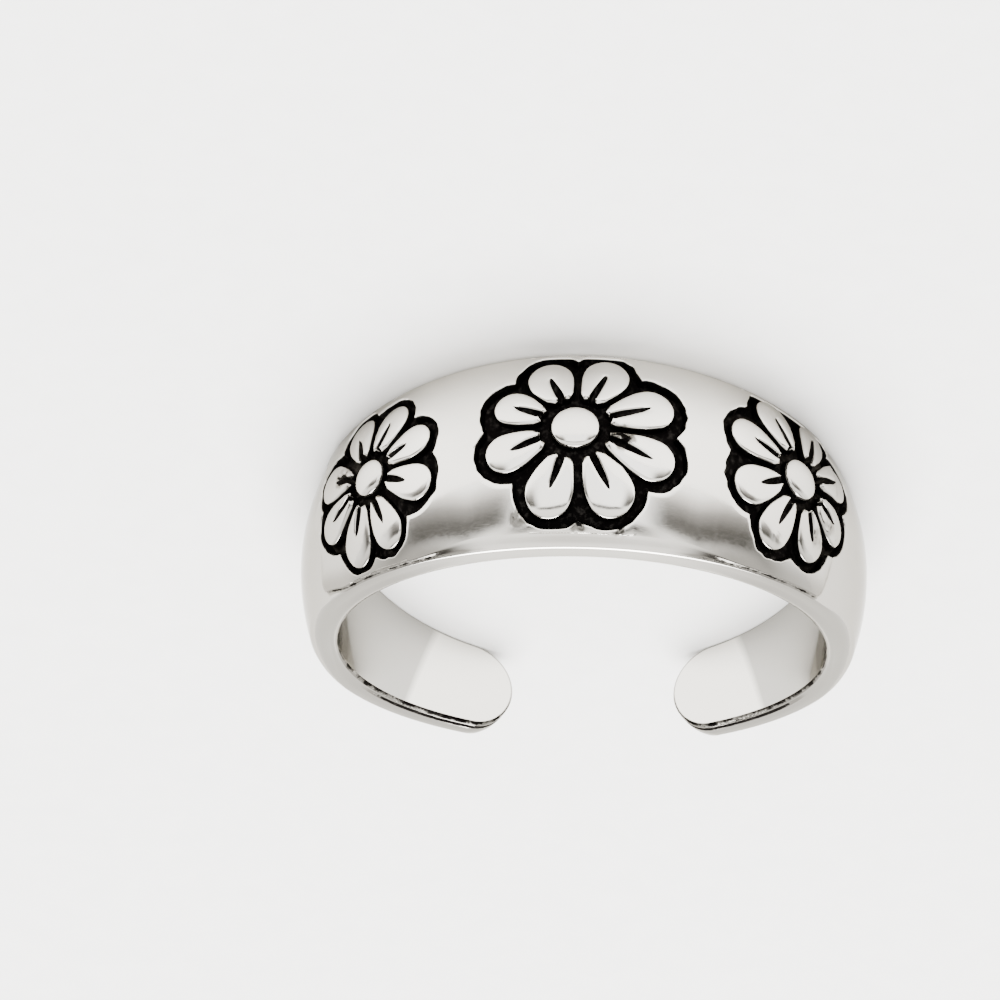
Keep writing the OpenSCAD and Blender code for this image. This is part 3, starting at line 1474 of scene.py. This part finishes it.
@dataclass(frozen=True)
class AntiquedSilver:
    """Polished sterling silver whose sunk places are blackened, as liver of sulphur leaves it.

    Attributes:
        bright: Colour of the polished metal.
        dull: Colour of its slightly tarnished patches.
        black: Colour of the blackened beds.
        grain: Colour of the rubbed specks in the black.
        shade_film: Colour of the metal under painted shade beside the crease, and at the faint edges of the
            black.
        bore: Colour of the bore, greyed as painted shade.
        wear_and_shade: Colour of the metal on the band's sides and back, darkened as painted shade.
        grazed: Tint of the metal seen edge on.
        painted_reflection_from: Place behind the middle, in metres, from which the bore takes a bright
            painted reflection.
        polish: Roughness of the polished metal.
        crust: Roughness of the blackening.
        specks: Waves in a millimetre of the specks that break the black's edge.
        soots: Waves in a millimetre of the worn specks in the black.
        clouds: Waves in a millimetre of the tarnish.
        hairs: Waves in a millimetre of the polishing hairlines.
    """

    bright: str = "#e3e0d9"
    dull: str = "#d5d1c9"
    black: str = "#060505"
    grain: str = "#262422"
    shade_film: str = "#7c7973"
    bore: str = "#a09e99"
    wear_and_shade: str = "#a19e98"
    grazed: str = "#cfcdc9"
    painted_reflection_from: float = 0.00659
    polish: float = 0.1
    crust: float = 0.55
    specks: float = 9.0
    soots: float = 4.2
    clouds: float = 0.26
    hairs: float = 6.0

    def build(self) -> bpy.types.Material:
        """Builds the material.

        Returns:
            The new material.
        """
        material = bpy.data.materials.new("antiqued_sterling_silver")
        material.use_nodes = True
        nodes = Nodes(material.node_tree)
        place = nodes.add("TexCoord").outputs["Object"]
        coat = nodes.add("Attribute", {"attribute_name": "blackening"}).outputs["Fac"]
        # Specks of about 0.05 mm break the edge of the black, as a hand-wiped finish does.
        speck = nodes.add("TexNoise", Vector=place, Scale=self.specks / MM, Detail=3.0).outputs["Fac"]
        ragged = nodes.add("Math", {"operation": "MULTIPLY_ADD"}, i0=speck, i1=0.5, i2=-0.25)
        mixed = nodes.add("Math", {"operation": "ADD"}, i0=coat, i1=ragged.outputs[0]).outputs[0]
        mask = nodes.add("MapRange", EASED, Value=mixed, From_Min=0.38, From_Max=0.62).outputs["Result"]
        # Worn grey specks of about 0.15 mm lie in the black floor.
        grit = nodes.add("TexNoise", Vector=place, Scale=self.soots / MM, Detail=5.0, Roughness=0.7)
        grit = grit.outputs["Fac"]
        soots = [(0.0, self.black), (0.52, self.black), (0.72, self.grain)]
        soot = nodes.add("ValToRGB", {"stops": soots}, Fac=grit).outputs["Color"]
        # Faint clouds of tarnish, a few millimetres wide, keep the polish from looking new.
        cloud = nodes.add("TexNoise", Vector=place, Scale=self.clouds / MM, Detail=2.0).outputs["Fac"]
        tones = [(0.35, self.bright), (0.75, self.dull)]
        metal = nodes.add("ValToRGB", {"stops": tones}, Fac=cloud).outputs["Color"]
        # Painted shade greys the sides and back of the band a little.
        spot = nodes.add("SeparateXYZ", Vector=place).outputs
        side_shade_share = nodes.add("MapRange", EASED, Value=spot["Y"], From_Min=-0.0076, From_Max=-0.004)
        metal = nodes.add("Mix", COLOURS, i0=side_shade_share.outputs["Result"], i6=metal, i7=srgb(self.wear_and_shade)).outputs[2]
        # The bore is painted greyer than the outside as shade, and the insides of the tips are painted bright
        # as a reflection.
        bore = nodes.add("MapRange", Value=coat, From_Min=-0.1, From_Max=-0.4).outputs["Result"]
        slant = nodes.add("Math", {"operation": "MULTIPLY_ADD"}, i0=spot["Z"], i1=0.13, i2=spot["Y"])
        slant = slant.outputs[0]
        first, last = self.painted_reflection_from + 0.0001, self.painted_reflection_from - 0.0001
        beyond_painted_reflection = nodes.add("MapRange", Value=slant, From_Min=first, From_Max=last).outputs["Result"]
        inside = nodes.add("Mix", COLOURS, i0=beyond_painted_reflection, i6=srgb(self.bright), i7=srgb(self.bore)).outputs[2]
        metal = nodes.add("Mix", COLOURS, i0=bore, i6=metal, i7=inside).outputs[2]
        # Where the blackening is faint, the metal is greyed: painted shade along the panel's crease and ends,
        # and a thin film at the edges of the black.
        shade_film_share = nodes.add("MapRange", EASED, Value=coat, From_Min=0.0, From_Max=0.24).outputs["Result"]
        metal = nodes.add("Mix", COLOURS, i0=shade_film_share, i6=metal, i7=srgb(self.shade_film)).outputs[2]
        colour = nodes.add("Mix", COLOURS, i0=mask, i6=metal, i7=soot)
        # Polishing leaves hairlines about 0.03 mm wide that catch the light a little.
        stretch = nodes.add("Mapping", Vector=place, Scale=(1.0, 1.0, 7.0)).outputs[0]
        hair = nodes.add("TexNoise", Vector=stretch, Scale=self.hairs / MM, Detail=4.0).outputs["Fac"]
        sleek, wear_and_shade = self.polish - 0.03, self.polish + 0.05
        sheen = nodes.add("MapRange", Value=hair, From_Min=0.3, From_Max=0.7, To_Min=sleek, To_Max=wear_and_shade)
        rough = nodes.add("Mix", {"data_type": "FLOAT"}, i0=mask, i2=sheen.outputs["Result"], i3=self.crust)
        # The black floor is gritty; the polished metal stays smooth apart from its hairlines.
        height = nodes.add("Math", {"operation": "MULTIPLY"}, i0=grit, i1=mask)
        bump = nodes.add("Bump", Strength=0.5, Distance=0.00004, Height=height.outputs[0])
        shader = nodes.add(
            "BsdfPrincipled",
            Base_Color=colour.outputs[2],
            Roughness=rough.outputs[0],
            Metallic=1.0,
            Specular_Tint=srgb(self.grazed),
            Normal=bump.outputs[0],
        )
        nodes.add("OutputMaterial", Surface=shader.outputs[0])
        return material


@dataclass(frozen=True)
class PalePaper:
    """Matt white paper sweep under the ring.

    Attributes:
        colour: Colour of the paper.
        fibre: Colour of its faint fibres.
        fibres: Waves of them in a millimetre.
    """

    colour: str = "#f3f2f0"
    fibre: str = "#eeedeb"
    fibres: float = 0.9

    def build(self) -> bpy.types.Material:
        """Builds the material.

        Returns:
            The new material.
        """
        material = bpy.data.materials.new("matt_white_paper")
        material.use_nodes = True
        nodes = Nodes(material.node_tree)
        place = nodes.add("TexCoord").outputs["Object"]
        # Soft fibres of about 1 mm keep the floor from being one flat tone.
        fibre = nodes.add("TexNoise", Vector=place, Scale=self.fibres / MM, Detail=3.0).outputs["Fac"]
        tones = [(0.3, self.colour), (0.8, self.fibre)]
        tone = nodes.add("ValToRGB", {"stops": tones}, Fac=fibre).outputs["Color"]
        shader = nodes.add("BsdfPrincipled", Base_Color=tone, Roughness=0.9)
        nodes.add("OutputMaterial", Surface=shader.outputs[0])
        return material


# The room's tones by height, from the horizon at 0 to overhead at 1
FRONT_ROOM = (
    (0.0, "#ffffff"),
    (0.43, "#ffffff"),
    (0.46, "#1c1b1a"),
    (0.5, "#1c1b1a"),
    (0.54, "#dcdbd9"),
    (0.82, "#d2d1cf"),
    (0.9, "#b9b8b6"),
)
FLANK_ROOM = (
    (0.0, "#ffffff"),
    (0.09, "#c9c7c4"),
    (0.2, "#7b7977"),
    (0.32, "#454442"),
    (0.4, "#454442"),
    (0.46, "#dcdbd9"),
    (0.82, "#d2d1cf"),
    (0.9, "#3b3a39"),
)
REAR_ROOM = (
    (0.0, "#ffffff"),
    (0.14, "#ededeb"),
    (0.3, "#dddcda"),
    (0.5, "#dddcda"),
    (0.58, "#c6c5c3"),
    (0.7, "#4a4947"),
)
OVER_ROOM = ((0.0, "#ffffff"), (0.14, "#ededeb"), (0.3, "#dddcda"), (0.6, "#d2d1cf"), (0.9, "#b9b8b6"))


@dataclass(frozen=True)
class Studio:
    """Floor, soft light and camera.

    Attributes:
        band: The ring's shape, which gives its middle and lean.
        distance: From the camera to the ring's middle, in metres.
        tilt: Angle between the line of sight and the bore's axis, in degrees.
        swing: Turn of the camera round the bore's axis, in degrees.
        roll: Turn of the picture, in degrees.
        scale: Pixels for each millimetre at the ring.
        spot: Pixel of the bore's middle.
        size: Width and height of the picture in pixels.
        glow: Strength of the room's light.
        box_power: Power of the soft box in watts.
    """

    band: BandShape
    distance: float = 0.4
    tilt: float = 61.03
    swing: float = 1.5
    roll: float = -1.78
    scale: float = 31.6
    spot: tuple[float, float] = (584.0, 583.3)
    size: float = 1000.0
    glow: float = 4.0
    box_power: float = 42.0

    def camera(self) -> None:
        """Places the camera where the photograph was taken from."""
        centre, lean = self.band.centre, self.band.lean
        axis = Vector((0.0, math.sin(lean), math.cos(lean)))
        front = Vector((0.0, -math.cos(lean), math.sin(lean)))
        level = Vector((-1.0, 0.0, 0.0))
        tilt, swing, roll = (math.radians(v) for v in (self.tilt, self.swing, self.roll))
        away = level * math.sin(swing) + front * math.cos(swing)
        beside = level * math.cos(swing) - front * math.sin(swing)
        sight = away * math.sin(tilt) + axis * math.cos(tilt)
        above = away * math.cos(tilt) - axis * math.sin(tilt)
        right = beside * math.cos(roll) - above * math.sin(roll)
        up = beside * math.sin(roll) + above * math.cos(roll)
        place = centre + sight * self.distance
        shift_x, shift_y = ((p - self.size / 2) / self.scale * MM for p in self.spot)
        aim = centre - right * shift_x + up * shift_y
        back = (place - aim).normalized()
        across = up.cross(back).normalized()
        upward = back.cross(across)
        data = bpy.data.cameras.new("view")
        data.sensor_width = 36.0
        data.lens = self.scale * self.distance / MM / self.size * data.sensor_width
        data.clip_start = 0.01
        camera = bpy.data.objects.new("view", data)
        camera.matrix_world = Matrix((across, upward, back)).transposed().to_4x4()
        camera.matrix_world.translation = place
        bpy.context.scene.collection.objects.link(camera)
        bpy.context.scene.camera = camera

    def floor(self) -> None:
        """Lays the paper that the ring rests on."""
        mesh = bpy.data.meshes.new("floor")
        bm = bmesh.new()
        bmesh.ops.create_circle(bm, cap_ends=True, radius=1.2, segments=96)
        bm.to_mesh(mesh)
        bm.free()
        floor = bpy.data.objects.new("floor", mesh)
        floor.data.materials.append(PalePaper().build())
        bpy.context.scene.collection.objects.link(floor)

    def lamp(self, name: str, place: Vector, size: tuple[float, float], power: float) -> None:
        """Adds one soft box that faces the ring.

        Args:
            name: Its name.
            place: Where it hangs, in metres.
            size: Its width and height, in metres.
            power: Its power in watts.
        """
        data = bpy.data.lights.new(name, "AREA")
        data.shape = "RECTANGLE"
        data.size, data.size_y = size
        data.energy = power
        lamp = bpy.data.objects.new(name, data)
        lamp.location = place
        lamp.rotation_euler = (self.band.centre - place).to_track_quat("-Z", "Y").to_euler()
        bpy.context.scene.collection.objects.link(lamp)

    def light(self) -> None:
        """Lights the ring with a pale room and one large soft box above and behind it."""
        world = bpy.data.worlds.new("pale_room")
        bpy.context.scene.world = world
        world.use_nodes = True
        nodes = Nodes(world.node_tree)
        way = nodes.add("TexCoord").outputs["Generated"]
        parts = nodes.add("SeparateXYZ", Vector=way).outputs
        sideways = nodes.add("Math", {"operation": "ABSOLUTE"}, i0=parts["X"]).outputs[0]
        # In front the room is white up to a dark gap, and pale grey over it.
        front = nodes.add("ValToRGB", {"stops": FRONT_ROOM}, Fac=parts["Z"]).outputs["Color"]
        # Beside the ring the gap is wide and soft, and lies lower towards the far left and right.
        sink = nodes.add("MapRange", Value=sideways, From_Min=0.72, From_Max=0.95, To_Max=0.19)
        sunk = nodes.add("Math", {"operation": "ADD"}, i0=parts["Z"], i1=sink.outputs["Result"]).outputs[0]
        flank = nodes.add("ValToRGB", {"stops": FLANK_ROOM}, Fac=sunk).outputs["Color"]
        # Overhead and straight behind it stays pale, with dark walls on each side of that.
        rear = nodes.add("ValToRGB", {"stops": REAR_ROOM}, Fac=parts["Z"]).outputs["Color"]
        over = nodes.add("ValToRGB", {"stops": OVER_ROOM}, Fac=parts["Z"]).outputs["Color"]
        walls = nodes.add("MapRange", EASED, Value=sideways, From_Min=0.2, From_Max=0.42).outputs["Result"]
        rear = nodes.add("Mix", COLOURS, i0=walls, i6=over, i7=rear).outputs[2]
        turned = nodes.add("MapRange", EASED, Value=sideways, From_Min=0.34, From_Max=0.56).outputs["Result"]
        behind = nodes.add("MapRange", EASED, Value=parts["Y"], From_Min=-0.35, From_Max=0.1)
        near = nodes.add("Mix", COLOURS, i0=turned, i6=front, i7=flank).outputs[2]
        room = nodes.add("Mix", COLOURS, i0=behind.outputs["Result"], i6=near, i7=rear).outputs[2]
        glow = nodes.add("Background", Color=room, Strength=self.glow)
        nodes.add("OutputWorld", Surface=glow.outputs[0])
        self.lamp("rear_box", Vector((0.0, 0.36, 0.83)), (0.9, 0.8), self.box_power)


def build() -> None:
    """Builds the ring, its finish and the studio."""
    logging.basicConfig(level=logging.INFO, format="%(name)s: %(message)s")
    band = BandShape.from_frame()
    ring = RingBand(band, ReliefSizes(), (MIDDLE_DAISY, RIGHT_DAISY, LEFT_DAISY)).build()
    ring.data.materials.append(AntiquedSilver().build())
    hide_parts("band")
    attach(ring, "root")
    studio = Studio(band)
    studio.floor()
    studio.light()
    studio.camera()


if __name__ == "__main__":
    build()
